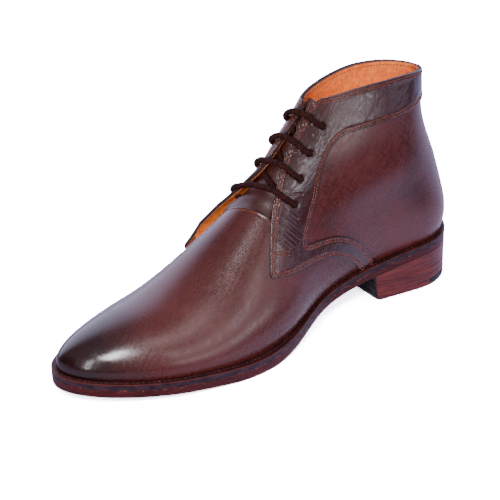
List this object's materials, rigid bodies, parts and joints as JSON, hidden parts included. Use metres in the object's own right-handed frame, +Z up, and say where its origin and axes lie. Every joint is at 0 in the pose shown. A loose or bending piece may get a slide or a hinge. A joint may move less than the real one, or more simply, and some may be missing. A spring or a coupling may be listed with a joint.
{
  "type": "chukka boot",
  "caption": "Plain-toe ankle boot in burnished brown leather, laced over a tongue, on a leather sole with a stacked leather heel.",
  "frame": {"origin": "middle of the heel's underside, on the floor", "axes": "+X from the heel towards the toe, +Y to the wearer's left, which is the outer side of this left boot, +Z up"},
  "size_m": [0.3024, 0.0988, 0.1548],
  "materials": {
    "upper_leather": "burnished semi-gloss brown calf, darker at the toe and facings",
    "tongue_leather": "semi-gloss dark brown",
    "lace_cord": "round waxed cotton cord, dark brown",
    "lining_leather": "matt tan, fine pebbled grain",
    "welt_leather": "inked dark, waxed",
    "sole_leather": "stained red-brown, burnished edge",
    "rubber_tip": "matt near-black rubber"
  },
  "bodies": {
    "root": {"upper": "upper_leather", "tongue": "tongue_leather", "lace_bar_1": "lace_cord", "lace_bar_2": "lace_cord", "lace_bar_3": "lace_cord", "lace_bar_4": "lace_cord", "insole": "lining_leather", "welt": "welt_leather", "outsole": "sole_leather", "heel_wedge": "sole_leather", "heel_lift_1": "sole_leather", "heel_lift_2": "sole_leather", "heel_top_piece": "sole_leather", "heel_rubber_tip": "rubber_tip"}
  },
  "joints": []
}
